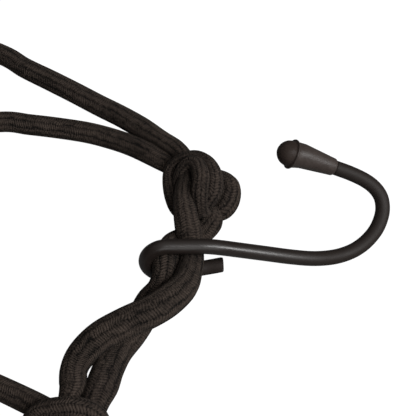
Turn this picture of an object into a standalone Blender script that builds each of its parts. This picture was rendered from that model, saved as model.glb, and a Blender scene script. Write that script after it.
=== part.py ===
"""A cargo net of black elastic cord with six coated wire hooks, lying flat.

Six columns and six rows of two-strand knots carry the mesh. The left and right sides are loosely
twisted doubled cords with a wire hook on every other stretch. The whole net is its own image under
a half turn about Z, so each piece is made once and once more turned round. Lengths are in
millimetres until the last step, which scales them to metres.
"""

import bmesh
import bpy
from math import atan2, cos, pi, radians, sin
from mathutils import Matrix, Vector
from mathutils.geometry import interpolate_bezier

MM = 0.001

# Mesh of the net
COLUMN_X = (-170.0, -102.0, -35.0, 35.0, 102.0, 170.0)
ROW_Y = {5: 150.0, 4: 90.0, 3: 30.0}
KNOT_SHIFTS = {
    (5, 4): (-1.5, -2.5), (4, 4): (1, 1), (3, 4): (-1, -1), (2, 4): (1, 1), (1, 4): (1, -2),
    (0, 4): (2, 1), (5, 3): (-1, 1), (4, 3): (-1, 0), (3, 3): (2, 1), (2, 3): (2, -1),
    (1, 3): (-2, 1), (0, 3): (3, -1), (3, 5): (0, 2), (2, 5): (-1, 1), (0, 5): (1, -1),
}

# Cord
CORD_RADIUS = 2.5
CORD_SIDES = 6
CORD_HEIGHT = 2.8          # centre of a strand that lies on the floor
PORT_REACH = 4.2           # from a knot's middle to where its strands enter
PORT_SPREAD = 2.4          # half the distance between the two strands of a pair
PORT_HEIGHT = 5.2
STRAND_EASE = 16.0         # how far a strand keeps the knot's direction before it turns away

# Knot: half sizes along its two strands, across them and upward
KNOT_HALF = (8.2, 7.6, 7.2)
KNOT_CENTRE_Z = 5.6
KNOT_SIDES = 10
KNOT_RINGS = 6
RIDGE_HEIGHT = 0.12        # share of the half size
RIDGE_PITCH = 5            # sides from one ridge to the next
LEVEL_ANGLE = 2.0          # degrees under which neighbouring faces of the net are merged

# Hook: a steel wire with a dipped coating
WIRE_RADIUS = 1.6
EYE_RADIUS = 4.45
EYE_DEPTH = 9.5               # flat top run of the eye
EYE_ASIDE = (1.1, -0.5, 0.6)  # how far cut end, foot and head of the eye stand aside of the shank
STUB = 2.3                    # how far the cut end reaches past the start of the shank
SHANK_DIP = 18.6              # degrees that the shank falls towards the floor
BEND_ROLL = 25.0              # degrees that the bend is turned up out of the floor
HOOK_START = (8.6, -16.8)     # start of the shank, from the knot at the head of the doubled cord
HOOK_HEADING = 24.2           # degrees that the shank points away from +X
BEND_STEPS = 22
WIRE_SIDES = 8

# Middle of shank and bend in their flat plane, from the eye to where the cap is pushed on
BEND_LINE = (
    (1.5, 0.0), (11.5, 0.0), (17.0, 0.0), (21.7, 0.2), (25.6, 0.8), (28.9, 1.8), (32.0, 3.4),
    (34.6, 5.6), (36.7, 8.4), (37.8, 11.3), (38.0, 13.6), (37.4, 15.8), (35.8, 17.6), (33.4, 18.9),
    (30.0, 19.9), (26.4, 20.6),
)

# Rubber cap: distance from its mouth and radius
CAP_PROFILE = ((0.0, 1.9), (10.1, 2.9), (10.3, 3.25), (10.7, 3.25), (10.8, 2.75), (11.8, 2.65),
               (12.8, 2.1), (13.5, 1.1))
CAP_TIP = 13.8
CAP_AXIS = (-0.982, 0.13, 0.134)  # from mouth to tip, in the frame of the bend's plane
CAP_SIDES = 12
BORE_RADIUS = 1.4
BORE_DEPTH = 5.3
FIT_GAP = 0.3              # between the wire's pared end and the cap's bore

# Doubled cord from a knot at the origin to one at PAIR_FOOT: x, y, z and radius
PAIR_FOOT = (-1.5, -62.5)
FRONT_STRAND = (
    (-1.2, -4.3, 8.6, 2.2), (0.7, -11.6, 8.2, 2.5), (2.3, -14.2, 6.9, 2.5), (4.3, -18.0, 6.0, 2.4),
    (5.1, -21.6, 6.0, 2.4), (5.5, -25.9, 7.2, 2.8), (3.9, -30.8, 8.6, 3.0), (1.3, -34.6, 9.0, 3.1),
    (-2.6, -38.8, 8.7, 3.1), (-6.0, -43.3, 7.6, 3.0), (-7.7, -47.6, 6.4, 2.8),
    (-7.6, -51.4, 6.0, 2.6), (-6.9, -55.2, 6.1, 2.4), (-4.6, -60.2, 6.3, 2.3),
)
REAR_STRAND = (
    (4.6, -4.6, 5.4, 2.2), (3.9, -8.1, 3.9, 2.4), (1.7, -11.4, 3.0, 2.5), (-0.3, -14.9, 3.8, 2.5),
    (-0.4, -18.0, 5.3, 2.4), (0.4, -21.3, 6.0, 2.3), (0.6, -24.6, 6.0, 2.3),
    (-0.6, -28.6, 4.0, 2.5), (-1.7, -33.6, 3.0, 2.8), (-2.2, -38.2, 3.1, 2.9),
    (-2.4, -42.8, 3.8, 2.8), (-2.0, -48.0, 4.8, 2.7), (-0.9, -54.0, 5.6, 2.4), (0.6, -59.4, 5.8, 2.3),
)
PAIR_STEPS = 12

# Long border strand from the corner knot at the origin, bowing outward to a knot at BORDER_FOOT
BORDER_FOOT = (-135, 2)
BORDER_STRAND = (
    (-5.0, 4.4, 5.6, 2.35), (-12.6, 8.9, 4.8, 2.45), (-20.1, 12.0, 3.8, 2.45),
    (-31.4, 15.2, 3.2, 2.45), (-45.7, 18.2, 2.8, 2.45), (-60.7, 21.8, 2.7, 2.45),
    (-80.0, 23.4, 2.7, 2.45), (-100.0, 20.0, 2.7, 2.45), (-118.0, 11.6, 3.4, 2.45),
    (-130.6, 3.2, 5.2, 2.35),
)
# Slack corner strand from the corner knot to the nearest inner knot at CORNER_FOOT
CORNER_FOOT = (-67, -59)
CORNER_STRAND = (
    (-5.0, 1.0, 5.2, 2.35), (-13.1, 4.2, 4.2, 2.45), (-20.0, 6.1, 3.3, 2.45),
    (-27.8, 7.0, 2.8, 2.45), (-37.5, 6.1, 2.7, 2.45), (-51.3, 2.9, 2.7, 2.45),
    (-64.0, -4.5, 2.7, 2.45), (-72.6, -17.0, 2.7, 2.45), (-74.4, -32.0, 2.7, 2.45),
    (-71.5, -46.0, 3.4, 2.45), (-68.6, -54.8, 5.2, 2.35),
)
LONG_STEPS = 10

# Inner strands: column and row of both knots, and the sideways bow of the strand between them
SHORT_STEPS = 4
ROW_STRANDS = (
    ((5, 4), (4, 4), -3.0), ((4, 4), (3, 4), -2.0), ((3, 4), (2, 4), 1.0), ((2, 4), (1, 4), 2.5),
    ((1, 4), (0, 4), -1.5), ((5, 3), (4, 3), -2.0), ((4, 3), (3, 3), 2.0), ((3, 3), (2, 3), -1.5),
    ((2, 3), (1, 3), 1.0), ((1, 3), (0, 3), -2.5),
)
COLUMN_STRANDS = (
    ((4, 4), (4, 3), 1.5), ((3, 4), (3, 3), -1.5), ((2, 4), (2, 3), 2.0), ((1, 4), (1, 3), -1.0),
    ((4, 3), (4, 2), -1.5), ((3, 3), (3, 2), 2.0), ((3, 5), (3, 4), -1.5), ((2, 5), (2, 4), 1.5),
    ((5, 4), (5, 3), 2.0), ((0, 4), (0, 3), 2.0),
)

# Hooks: knot at the head of the doubled cord, and the shank's heading in degrees
HOOKS = (((5, 5), HOOK_HEADING), ((5, 3), HOOK_HEADING), ((0, 4), 180.0 + HOOK_HEADING))

HALF_TURN = Matrix.Rotation(pi, 4, "Z")
TURNS = (Matrix.Identity(4), HALF_TURN)


def clear_scene():
    for item in list(bpy.data.objects):
        bpy.data.objects.remove(item, do_unlink=True)


def material(name, colour, roughness, metallic=0.0):
    made = bpy.data.materials.new(name)
    made.use_nodes = True
    shader = made.node_tree.nodes["Principled BSDF"]
    shader.inputs["Base Color"].default_value = (*colour, 1.0)
    shader.inputs["Roughness"].default_value = roughness
    shader.inputs["Metallic"].default_value = metallic
    return made


def knot_place(knot):
    """Middle of a knot on the floor; a lower row is the half turn of an upper one."""
    column, row = knot
    if row < 3:
        return HALF_TURN @ knot_place((5 - column, 5 - row))
    shift = KNOT_SHIFTS.get(knot, (0, 0))
    return Vector((COLUMN_X[column] + shift[0], ROW_Y[row] + shift[1], 0.0))


def knot_axis(knot):
    """Direction in degrees in which the strands run through a knot."""
    column, row = knot
    if row < 3:
        return knot_axis((5 - column, 5 - row)) + 180.0
    if row == 5:
        return {5: -60.0, 3: -25.0, 2: 205.0, 0: -120.0}[column]
    if column in (0, 5):
        return -115.0 if (column, row) in ((5, 4), (0, 3)) else -65.0
    return -45.0


def port(knot, other):
    """Where the strand to the other knot enters a knot, and the direction in which it leaves."""
    axis = Matrix.Rotation(radians(knot_axis(knot)), 4, "Z") @ Vector((1.0, 0.0, 0.0))
    across = Vector((-axis.y, axis.x, 0.0))
    middle = knot_place(knot)
    towards = (knot_place(other) - middle).normalized()
    ports = [
        (along * PORT_REACH * axis + side * PORT_SPREAD * across, along * axis)
        for along in (-1, 1) for side in (-1, 1)
    ]
    offset, leaves = max(ports, key=lambda found: found[0].normalized().dot(towards))
    return middle + offset + Vector((0.0, 0.0, PORT_HEIGHT)), (leaves + towards).normalized()


def smooth(points, steps):
    """Even points on the Catmull-Rom curve through the points; a fourth number is a radius."""
    ends = [[2 * a - b for a, b in zip(points[0], points[1])],
            [2 * a - b for a, b in zip(points[-1], points[-2])]]
    held = [ends[0], *points, ends[1]]
    spans = len(points) - 1
    route = []
    for step in range(steps + 1):
        place = spans * step / steps
        span = min(int(place), spans - 1)
        t = place - span
        weights = (
            -0.5 * t + t * t - 0.5 * t ** 3,
            1 - 2.5 * t * t + 1.5 * t ** 3,
            0.5 * t + 2 * t * t - 1.5 * t ** 3,
            -0.5 * t * t + 0.5 * t ** 3,
        )
        around = held[span:span + 4]
        route.append([sum(w * p[k] for w, p in zip(weights, around)) for k in range(len(points[0]))])
    return route


def tube(name, route, radius, sides, turn):
    """A closed tube mesh along a route of x, y, z and, where given, its own radius."""
    curve = bpy.data.curves.new(name, "CURVE")
    curve.dimensions = "3D"
    curve.bevel_depth = radius * MM
    curve.bevel_resolution = (sides - 4) // 2
    curve.use_fill_caps = True
    spline = curve.splines.new("POLY")
    spline.points.add(len(route) - 1)
    for point, place in zip(spline.points, route):
        point.co = (*(turn @ Vector(place[:3]) * MM), 1.0)
        point.radius = place[3] / radius if len(place) > 3 else 1.0
    made = bpy.data.objects.new(name, curve)
    bpy.context.collection.objects.link(made)
    return as_mesh(made)


def as_mesh(made):
    """The object's curve made a mesh, with its end caps welded on."""
    built = bpy.data.meshes.new_from_object(made.evaluated_get(bpy.context.evaluated_depsgraph_get()))
    name = made.name
    bpy.data.objects.remove(made, do_unlink=True)
    work = bmesh.new()
    work.from_mesh(built)
    bmesh.ops.remove_doubles(work, verts=work.verts, dist=0.001 * MM)
    bmesh.ops.triangulate(work, faces=work.faces)
    bmesh.ops.recalc_face_normals(work, faces=work.faces)
    work.to_mesh(built)
    work.free()
    welded = bpy.data.objects.new(name, built)
    bpy.context.collection.objects.link(welded)
    return welded


def plain_strand(knot, other, bow):
    """Route of a single strand between two knots, lying on the floor with a sideways bow."""
    start, out = port(knot, other)
    end, back = port(other, knot)
    aside = Vector((start.y - end.y, end.x - start.x, 0.0)).normalized() * bow
    fall = Vector((0.0, 0.0, CORD_HEIGHT - PORT_HEIGHT)) * 4 / 3
    handles = (start + out * STRAND_EASE + aside + fall, end + back * STRAND_EASE + aside + fall)
    return [tuple(point) for point in interpolate_bezier(start, *handles, end, SHORT_STEPS + 1)]


def set_route(points, knot, other, degrees, flip=1):
    """A hand-laid route moved to a knot, turned, and drawn out to end at the other knot."""
    turned = Matrix.Rotation(radians(degrees), 4, "Z") @ Matrix.Diagonal((flip, 1, 1, 1))
    start = knot_place(knot)
    far = turned @ route_end(points)
    rest = knot_place(other) - start - far
    moved = []
    for x, y, z, radius in points:
        flat = turned @ Vector((x, y, 0.0))
        share = flat.dot(far) / far.length_squared
        place = start + flat + rest * share
        moved.append((place.x, place.y, z, radius))
    return moved


def route_end(points):
    """Middle of the knot that a hand-laid route was drawn to."""
    ends = {FRONT_STRAND: PAIR_FOOT, REAR_STRAND: PAIR_FOOT, BORDER_STRAND: BORDER_FOOT,
            CORNER_STRAND: CORNER_FOOT}
    return Vector((*ends[points], 0.0))


def strand_routes():
    """Routes of the strands that are made once and once more turned round."""
    doubled = (((5, 5), (5, 4), 0), ((5, 3), (5, 2), 0), ((0, 4), (0, 5), 180), ((3, 5), (2, 5), -90))
    for head, foot, degrees in doubled:
        for points in (FRONT_STRAND, REAR_STRAND):
            yield smooth(set_route(points, head, foot, degrees), PAIR_STEPS)
    for corner, inner, border, flip in (((5, 5), (4, 4), (3, 5), 1), ((0, 5), (1, 4), (2, 5), -1)):
        yield smooth(set_route(BORDER_STRAND, corner, border, 0, flip), LONG_STEPS)
        yield smooth(set_route(CORNER_STRAND, corner, inner, 0, flip), LONG_STEPS)
    for knot, other, bow in ROW_STRANDS + COLUMN_STRANDS:
        yield plain_strand(knot, other, bow)


def knot_lump(knot, turn):
    """A ridged knot: a rounded body with slanting ridges, flat where it rests on the floor."""
    work = bmesh.new()
    bmesh.ops.create_uvsphere(work, u_segments=KNOT_SIDES, v_segments=KNOT_RINGS, radius=1.0)
    along, across, up = KNOT_HALF
    stand = Matrix.Rotation(pi / 2, 4, "Y")
    place = Matrix.Translation(knot_place(knot)) @ Matrix.Rotation(radians(knot_axis(knot)), 4, "Z")
    for vert in work.verts:
        ring = round((vert.co.z + 1.0) * KNOT_RINGS / 2)
        side = round(atan2(vert.co.y, vert.co.x) / (2 * pi) * KNOT_SIDES)
        ridge = 1.0 + RIDGE_HEIGHT * ((side + ring) % RIDGE_PITCH < 2)
        body = stand @ vert.co
        body = Vector((body.x * along, body.y * across * ridge, body.z * up * ridge))
        body.z = max(body.z + KNOT_CENTRE_Z, 0.0)
        vert.co = turn @ place @ body * MM
    bmesh.ops.triangulate(work, faces=work.faces)
    mesh = bpy.data.meshes.new("knot")
    work.to_mesh(mesh)
    work.free()
    made = bpy.data.objects.new("knot", mesh)
    bpy.context.collection.objects.link(made)
    return made


def join(pieces, name):
    """All pieces in one mesh object, not yet united."""
    work = bmesh.new()
    for piece in pieces:
        work.from_mesh(piece.data)
        bpy.data.objects.remove(piece, do_unlink=True)
    mesh = bpy.data.meshes.new(name)
    work.to_mesh(mesh)
    work.free()
    made = bpy.data.objects.new(name, mesh)
    bpy.context.collection.objects.link(made)
    return made


def build_net(cord):
    """All strands and knots united in one solid."""
    strands = []
    knots = []
    for turn in TURNS:
        for route in strand_routes():
            strands.append(tube("strand", route, CORD_RADIUS, CORD_SIDES, turn))
        for row in (5, 4, 3):
            for column in range(6):
                if row < 5 or column in (0, 2, 3, 5):
                    knots.append(knot_lump((column, row), turn))
    net = join(strands, "net")
    lumps = join(knots, "knots")
    lumps.hide_render = True
    lumps.display_type = "WIRE"
    union = net.modifiers.new("Fuse the knots", "BOOLEAN")
    union.operation = "UNION"
    union.solver = "EXACT"
    union.use_self = True
    union.object = lumps
    thin = net.modifiers.new("Merge level faces", "DECIMATE")
    thin.decimate_type = "DISSOLVE"
    thin.angle_limit = radians(LEVEL_ANGLE)
    net.data.materials.append(cord)
    return net


def hook_frame(knot, degrees, turn):
    """Place of a hook: X along the shank over the floor, Z up, the shank starting at the origin."""
    start = Matrix.Rotation(radians(degrees - HOOK_HEADING), 4, "Z") @ Vector((*HOOK_START, 0.0))
    middle = knot_place(knot) + start + Vector((0.0, 0.0, WIRE_RADIUS + 2 * EYE_RADIUS))
    return turn @ Matrix.Translation(middle) @ Matrix.Rotation(radians(degrees), 4, "Z")


def shank_frame():
    """The flat plane of shank and bend within the hook: X along the shank, Y towards the tip."""
    dip = Matrix.Rotation(radians(SHANK_DIP), 4, "Y")
    return dip @ Matrix.Rotation(radians(BEND_ROLL), 4, "X")


def arc(centre, radius, first, last, steps):
    """Points of an arc in degrees, both ends counted, as pairs."""
    turned = [radians(first + (last - first) * step / steps) for step in range(steps + 1)]
    return [(centre[0] + radius * cos(a), centre[1] + radius * sin(a)) for a in turned]


def wire_route():
    """Centre of the wire in the hook's frame: cut end, eye, shank, bend and the end for the cap."""
    eye = arc((-EYE_DEPTH, -EYE_RADIUS), EYE_RADIUS, -90, -270, 10)
    cut_end, foot, head = EYE_ASIDE
    route = [(STUB, cut_end, -2 * EYE_RADIUS, WIRE_RADIUS)]
    route += [(x, head + (foot - head) * z / (-2 * EYE_RADIUS), z, WIRE_RADIUS) for x, z in eye]
    route.append((-1.5, 0.2, 0.0, WIRE_RADIUS))
    plane = shank_frame()
    for x, y in smooth(BEND_LINE, BEND_STEPS):
        route.append((*(plane @ Vector((x, y, 0.0))), WIRE_RADIUS))
    into = cap_frame()
    pared = BORE_RADIUS - FIT_GAP
    for reach, radius in ((FIT_GAP, WIRE_RADIUS), (FIT_GAP + 0.1, pared), (BORE_DEPTH, pared)):
        route.append((*(into @ Vector((0.0, 0.0, reach))), radius))
    return route


def cap_frame():
    """Place of the cap within the hook: Z from the end of the bend towards the cap's tip."""
    turned = Vector((0.0, 0.0, 1.0)).rotation_difference(Vector(CAP_AXIS)).to_matrix().to_4x4()
    return shank_frame() @ Matrix.Translation((*BEND_LINE[-1], 0.0)) @ turned


def build_cap(name, frame, rubber):
    """The rubber cap: a turned profile with a blind bore, mouth towards the bend."""
    mouth = 2 * FIT_GAP
    profile = [(0.0, BORE_DEPTH + FIT_GAP), (BORE_RADIUS, BORE_DEPTH + FIT_GAP), (BORE_RADIUS, mouth)]
    profile += [(radius, mouth + reach) for reach, radius in CAP_PROFILE]
    profile.append((0.0, mouth + CAP_TIP))
    mesh = bpy.data.meshes.new(name)
    work = bmesh.new()
    points = [work.verts.new((radius * MM, 0.0, reach * MM)) for radius, reach in profile]
    for first, second in zip(points, points[1:]):
        work.edges.new((first, second))
    work.to_mesh(mesh)
    work.free()
    cap = bpy.data.objects.new(name, mesh)
    bpy.context.collection.objects.link(cap)
    spin = cap.modifiers.new("Turn", "SCREW")
    spin.steps = CAP_SIDES
    spin.render_steps = CAP_SIDES
    spin.use_merge_vertices = True
    spin.merge_threshold = 0.00001
    spin.use_normal_calculate = True
    placed = frame @ cap_frame()
    placed.translation *= MM
    cap.matrix_world = placed
    mesh.materials.append(rubber)
    return cap


def build_hooks(wire_coat, rubber):
    """Six hooks, one on each doubled side stretch."""
    count = 0
    for turn in TURNS:
        for knot, degrees in HOOKS:
            count += 1
            frame = hook_frame(knot, degrees, turn)
            wire = tube(f"hook_wire_{count}", wire_route(), WIRE_RADIUS, WIRE_SIDES, frame)
            wire.data.materials.append(wire_coat)
            build_cap(f"hook_cap_{count}", frame, rubber)


def main():
    clear_scene()
    build_net(material("braided elastic cord", (0.012, 0.011, 0.010), 0.75))
    build_hooks(
        material("dip-coated steel wire", (0.016, 0.015, 0.014), 0.35),
        material("moulded rubber", (0.02, 0.018, 0.017), 0.6),
    )


main()
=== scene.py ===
"""Looks of a cargo net: braided elastic cord in two-strand knots, and coated wire hooks with caps.

Each stretch of cord runs from the hidden middle of one knot to the hidden middle of the next, so
the knots are real turns of the same cord. Lengths in the lists are in millimetres.
"""

from math import atan2, ceil, cos, degrees, pi, radians, sin

import bmesh
import bpy
from bpy.props import FloatProperty, FloatVectorProperty, PointerProperty
from mathutils import Matrix, Vector


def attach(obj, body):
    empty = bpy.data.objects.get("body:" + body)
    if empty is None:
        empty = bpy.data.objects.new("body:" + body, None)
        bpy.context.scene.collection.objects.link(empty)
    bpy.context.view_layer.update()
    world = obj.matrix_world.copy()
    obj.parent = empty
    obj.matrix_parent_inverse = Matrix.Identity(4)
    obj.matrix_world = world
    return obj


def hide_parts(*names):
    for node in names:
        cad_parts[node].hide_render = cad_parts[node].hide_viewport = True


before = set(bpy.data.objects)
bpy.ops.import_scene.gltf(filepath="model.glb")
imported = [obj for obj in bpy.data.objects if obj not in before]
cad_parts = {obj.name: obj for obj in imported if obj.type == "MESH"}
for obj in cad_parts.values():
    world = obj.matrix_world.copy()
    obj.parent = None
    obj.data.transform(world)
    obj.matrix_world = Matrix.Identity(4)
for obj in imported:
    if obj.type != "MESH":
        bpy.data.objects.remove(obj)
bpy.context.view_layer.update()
BODY = "root"

bl_info = {
    "name": "Cargo Net",
    "version": (1, 0, 0),
    "blender": (4, 5, 0),
    "location": "View3D > Sidebar > Cargo Net",
    "description": "Lays a knotted net of elastic cord with six coated wire hooks",
    "category": "Add Mesh",
}

MM = 0.001

# Where the knots lie. The lower half of the net is the half turn of the upper half.
COLUMN_X = (-170.0, -102.0, -35.0, 35.0, 102.0, 170.0)
ROW_Y = {5: 150.0, 4: 90.0, 3: 30.0}
LAST = 5                   # number of the last column and of the top row, both counted from 0
LOWEST_UPPER_ROW = 3
# Knots of the upper half: shift off the grid in x and y, turn in degrees and mirror sign
KNOTS = {
    (5, 5): (0, 0, 0, 1), (3, 5): (0, 2, 90, 1), (2, 5): (-1, 1, 88, 1), (0, 5): (1, -1, 8, -1),
    (5, 4): (-1.5, -2.5, 0, 1), (4, 4): (1, 1, 20, 1), (3, 4): (-1, -1, 8, 1),
    (2, 4): (1, 1, 14, 1), (1, 4): (1, -2, 4, 1), (0, 4): (2, 1, 180, 1),
    (5, 3): (-1, 1, 0, 1), (4, 3): (-1, 0, 9, 1), (3, 3): (2, 1, 16, 1),
    (2, 3): (2, -1, 5, 1), (1, 3): (-2, 1, 12, 1), (0, 3): (3, -1, 180, 1),
}

# The two strands of a knot: x, y, z and radius, in from the left and out below.
# The core strand runs straight through under both turns of the other strand.
CORE_IN = (
    (-8.8, 7.0, 6.1, 2.25), (-5.7, 4.4, 6.6, 2.00), (-3.9, 1.1, 7.4, 1.80),
)
CORE_OUT = (
    (-5.7, 4.4, 6.6, 2.00), (-3.9, 1.1, 7.4, 1.80), (-3.1, -3.1, 8.5, 1.95),
    (-1.8, -6.8, 8.8, 2.30), (0.0, -10.3, 8.5, 2.60),
)
# The wrapping strand passes behind, turns on the right, and makes a collar and an arch in front.
WRAP_IN = (
    (-9.8, 3.9, 4.5, 2.15), (-4.9, 3.5, 4.3, 1.90), (-0.7, 3.8, 4.1, 1.90), (2.8, 3.8, 4.6, 2.20),
    (5.5, 2.2, 5.1, 2.30), (6.2, -1.1, 4.4, 2.50), (4.9, -3.1, 3.2, 2.30), (0.7, -2.0, 2.1, 1.95),
    (-3.3, -2.0, 2.1, 1.95),
)
WRAP_OUT = (
    (0.7, -2.0, 2.1, 1.95), (-1.2, -4.6, 2.3, 1.95), (-3.2, -6.0, 3.4, 1.90),
    (-5.3, -4.5, 4.8, 1.80), (-7.3, -1.6, 6.3, 1.50), (-7.8, 0.9, 7.7, 1.38),
    (-5.9, 3.2, 8.8, 1.50), (-3.3, 4.3, 9.2, 1.75), (-0.3, 3.2, 9.8, 1.90), (2.3, 0.4, 10.0, 2.05),
    (3.3, -2.7, 9.2, 2.05), (2.5, -4.7, 7.4, 1.90), (0.8, -4.5, 4.8, 1.70), (-1.9, -3.1, 3.8, 1.70),
    (-4.2, -2.6, 4.6, 1.55), (-5.1, -2.0, 6.6, 1.45), (-5.0, -0.5, 9.0, 1.45),
    (-3.9, 1.3, 10.3, 1.75), (-1.7, 1.0, 11.1, 1.95), (0.3, -2.0, 11.6, 1.95),
    (1.1, -4.8, 10.9, 1.90), (1.7, -6.1, 8.5, 1.70), (2.0, -6.2, 6.0, 2.00), (3.0, -5.4, 4.1, 2.10),
    (4.2, -5.6, 3.9, 2.30), (4.5, -7.5, 3.8, 2.50),
)
# The knot at the foot of a doubled cord is wider: its collar goes over three strands at once.
FOOT_LEFT = (
    (-3.2, 0.0, 6.2, 1.90), (-4.2, 3.5, 5.6, 1.90), (-4.9, 6.2, 5.6, 2.10),
)
FOOT_RIGHT = (
    (-1.5, -6.2, 3.2, 1.90), (1.6, -7.4, 4.0, 1.90), (3.4, -6.6, 6.6, 2.00), (2.4, -4.6, 9.4, 2.10),
    (-0.8, -3.0, 10.6, 2.25), (-4.4, -3.0, 10.0, 2.20), (-7.4, -4.3, 8.0, 2.00),
    (-8.6, -5.8, 5.2, 1.90), (-7.2, -6.4, 2.7, 1.95), (-3.0, -5.4, 2.1, 2.00),
    (1.8, -4.4, 2.2, 2.00), (4.4, -1.8, 3.6, 2.00), (4.4, 0.8, 5.8, 2.00), (3.2, 2.7, 8.0, 2.20),
    (1.2, 3.0, 9.9, 2.35), (-1.3, 2.5, 10.7, 2.35), (-4.1, 1.6, 10.5, 2.30), (-6.6, 0.6, 9.7, 2.20),
    (-8.4, -0.5, 8.3, 2.10), (-9.2, -1.5, 6.3, 2.00), (-9.4, -2.8, 4.2, 1.90),
    (-7.8, -3.6, 2.4, 1.90), (-4.6, -3.2, 2.1, 1.95), (-1.0, -2.4, 2.3, 2.00),
    (0.8, 0.4, 3.4, 2.20), (0.4, 4.0, 4.6, 2.50), (0.0, 7.8, 5.0, 2.90),
)
FOOT_BELOW = (
    (-3.2, 0.0, 6.2, 1.90), (-2.4, -3.5, 7.2, 1.90), (-1.7, -7.2, 7.4, 2.15),
    (-1.2, -10.5, 6.0, 2.40),
)
FOOT_SIDE = (
    (-3.0, -0.2, 3.6, 1.80), (-6.4, 1.7, 5.0, 2.20), (-9.7, 2.9, 4.4, 2.55),
)
# Ports of a knot: the angle at which the strand leaves, and its points from the middle outward
PORTS = {
    "core_in": (148.0, tuple(reversed(CORE_IN))),
    "wrap_in": (165.0, tuple(reversed(WRAP_IN))),
    "core_out": (-85.0, CORE_OUT),
    "wrap_out": (-75.0, WRAP_OUT),
}
FOOT_PORTS = {
    "foot_left": (122.0, FOOT_LEFT),
    "foot_right": (88.0, FOOT_RIGHT),
    "foot_below": (-93.0, FOOT_BELOW),
    "foot_side": (177.0, FOOT_SIDE),
}
FOOT_KNOTS = ((5, 4), (0, 3), (3, 5))

# Doubled cord between the knot at the origin and the one at PAIR_FOOT
PAIR_FOOT = (-1.5, -62.5)
FRONT_STRAND = (
    (1.7, -13.1, 7.5, 2.80), (3.1, -15.4, 6.2, 2.55), (4.4, -18.2, 5.9, 2.60),
    (5.1, -21.4, 6.1, 2.75), (5.6, -25.9, 7.2, 3.05), (4.3, -30.8, 8.5, 3.30),
    (2.0, -34.8, 9.0, 3.32), (-1.9, -39.0, 8.7, 3.32), (-5.5, -43.0, 7.6, 3.30),
    (-7.7, -47.2, 6.4, 3.05), (-7.9, -50.7, 5.9, 2.75), (-6.7, -53.7, 5.7, 2.75),
)
REAR_STRAND = (
    (3.1, -10.4, 3.2, 2.50), (-0.3, -14.5, 4.3, 2.60), (-0.8, -17.8, 5.6, 2.75),
    (-0.4, -21.1, 5.9, 2.80), (0.5, -24.0, 5.6, 2.60), (0.5, -26.8, 4.6, 2.60),
    (-0.5, -29.7, 3.5, 2.90), (-0.7, -33.7, 3.1, 3.10), (-1.2, -37.8, 3.2, 3.15),
    (-2.3, -42.6, 3.6, 3.30), (-2.1, -47.1, 4.3, 3.20), (-1.6, -51.1, 4.9, 3.30),
)
# Long border strand and slack corner strand from the corner knot at the origin
BORDER_FOOT = (-135, 2)
BORDER_STRAND = (
    (-13.6, 9.1, 5.2, 2.32), (-19.1, 11.4, 4.4, 2.52), (-25.2, 13.4, 3.8, 2.50),
    (-31.5, 15.0, 3.3, 2.50), (-38.6, 16.8, 3.0, 2.50), (-45.7, 18.4, 2.8, 2.50),
    (-53.1, 19.9, 2.7, 2.45), (-60.7, 21.9, 2.7, 2.45), (-80.0, 23.4, 2.7, 2.45),
    (-100.0, 20.0, 2.7, 2.45), (-115.0, 13.0, 3.2, 2.45),
)
CORNER_FOOT = (-67, -59)
CORNER_STRAND = (
    (-14.7, 5.3, 4.1, 2.38), (-19.0, 6.4, 3.6, 2.42), (-23.5, 7.0, 3.2, 2.44),
    (-30.3, 7.0, 2.9, 2.44), (-37.5, 6.0, 2.7, 2.44), (-44.5, 4.6, 2.6, 2.44),
    (-51.3, 2.9, 2.6, 2.42), (-64.0, -4.5, 2.6, 2.45), (-72.6, -17.0, 2.6, 2.45),
    (-74.4, -32.0, 2.7, 2.45), (-72.0, -44.0, 3.2, 2.45),
)

# Doubled cords: head knot, foot knot and turn in degrees
DOUBLED = (((5, 5), (5, 4), 0), ((5, 3), (5, 2), 0), ((0, 4), (0, 5), 180), ((3, 5), (2, 5), -90))
# Corners: corner knot, inner knot, border knot and mirror sign
CORNERS = (((5, 5), (4, 4), (3, 5), 1), ((0, 5), (1, 4), (2, 5), -1))
# Plain strands between two knots, with the sideways bow of each
ROW_STRANDS = (
    ((5, 4), (4, 4), -3.6), ((4, 4), (3, 4), -2.0), ((3, 4), (2, 4), 1.0), ((2, 4), (1, 4), 2.5),
    ((1, 4), (0, 4), -1.5), ((5, 3), (4, 3), -2.0), ((4, 3), (3, 3), 2.0), ((3, 3), (2, 3), -1.5),
    ((2, 3), (1, 3), 1.0), ((1, 3), (0, 3), -2.5),
)
COLUMN_STRANDS = (
    ((4, 4), (4, 3), 1.5), ((3, 4), (3, 3), -1.5), ((2, 4), (2, 3), 2.0), ((1, 4), (1, 3), -1.0),
    ((4, 3), (4, 2), -1.5), ((3, 3), (3, 2), 2.0), ((3, 5), (3, 4), -1.5), ((2, 5), (2, 4), 1.5),
    ((5, 4), (5, 3), 2.0), ((0, 4), (0, 3), 2.0),
)
FLOOR_STRAND = 2.55        # height of the middle of a strand that lies on the floor
STRAND_RADIUS = 2.45
BOW_SHAPE = ((0.3, 0.85), (0.5, 1.0), (0.7, 0.85))  # shares of the way along, and of the bow
HARD_TURN = 50.0           # degrees at a knot's mouth beyond which a plain strand makes an elbow
FINE_STEP = 0.25           # between points of a curve before they are spread evenly
RING_BEND = 0.2            # radians that a cord may turn from one ring of points to the next
LEAST_HEIGHT = 0.02        # that a cord's underside keeps over the floor
CORD_SIDES = 16

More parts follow.
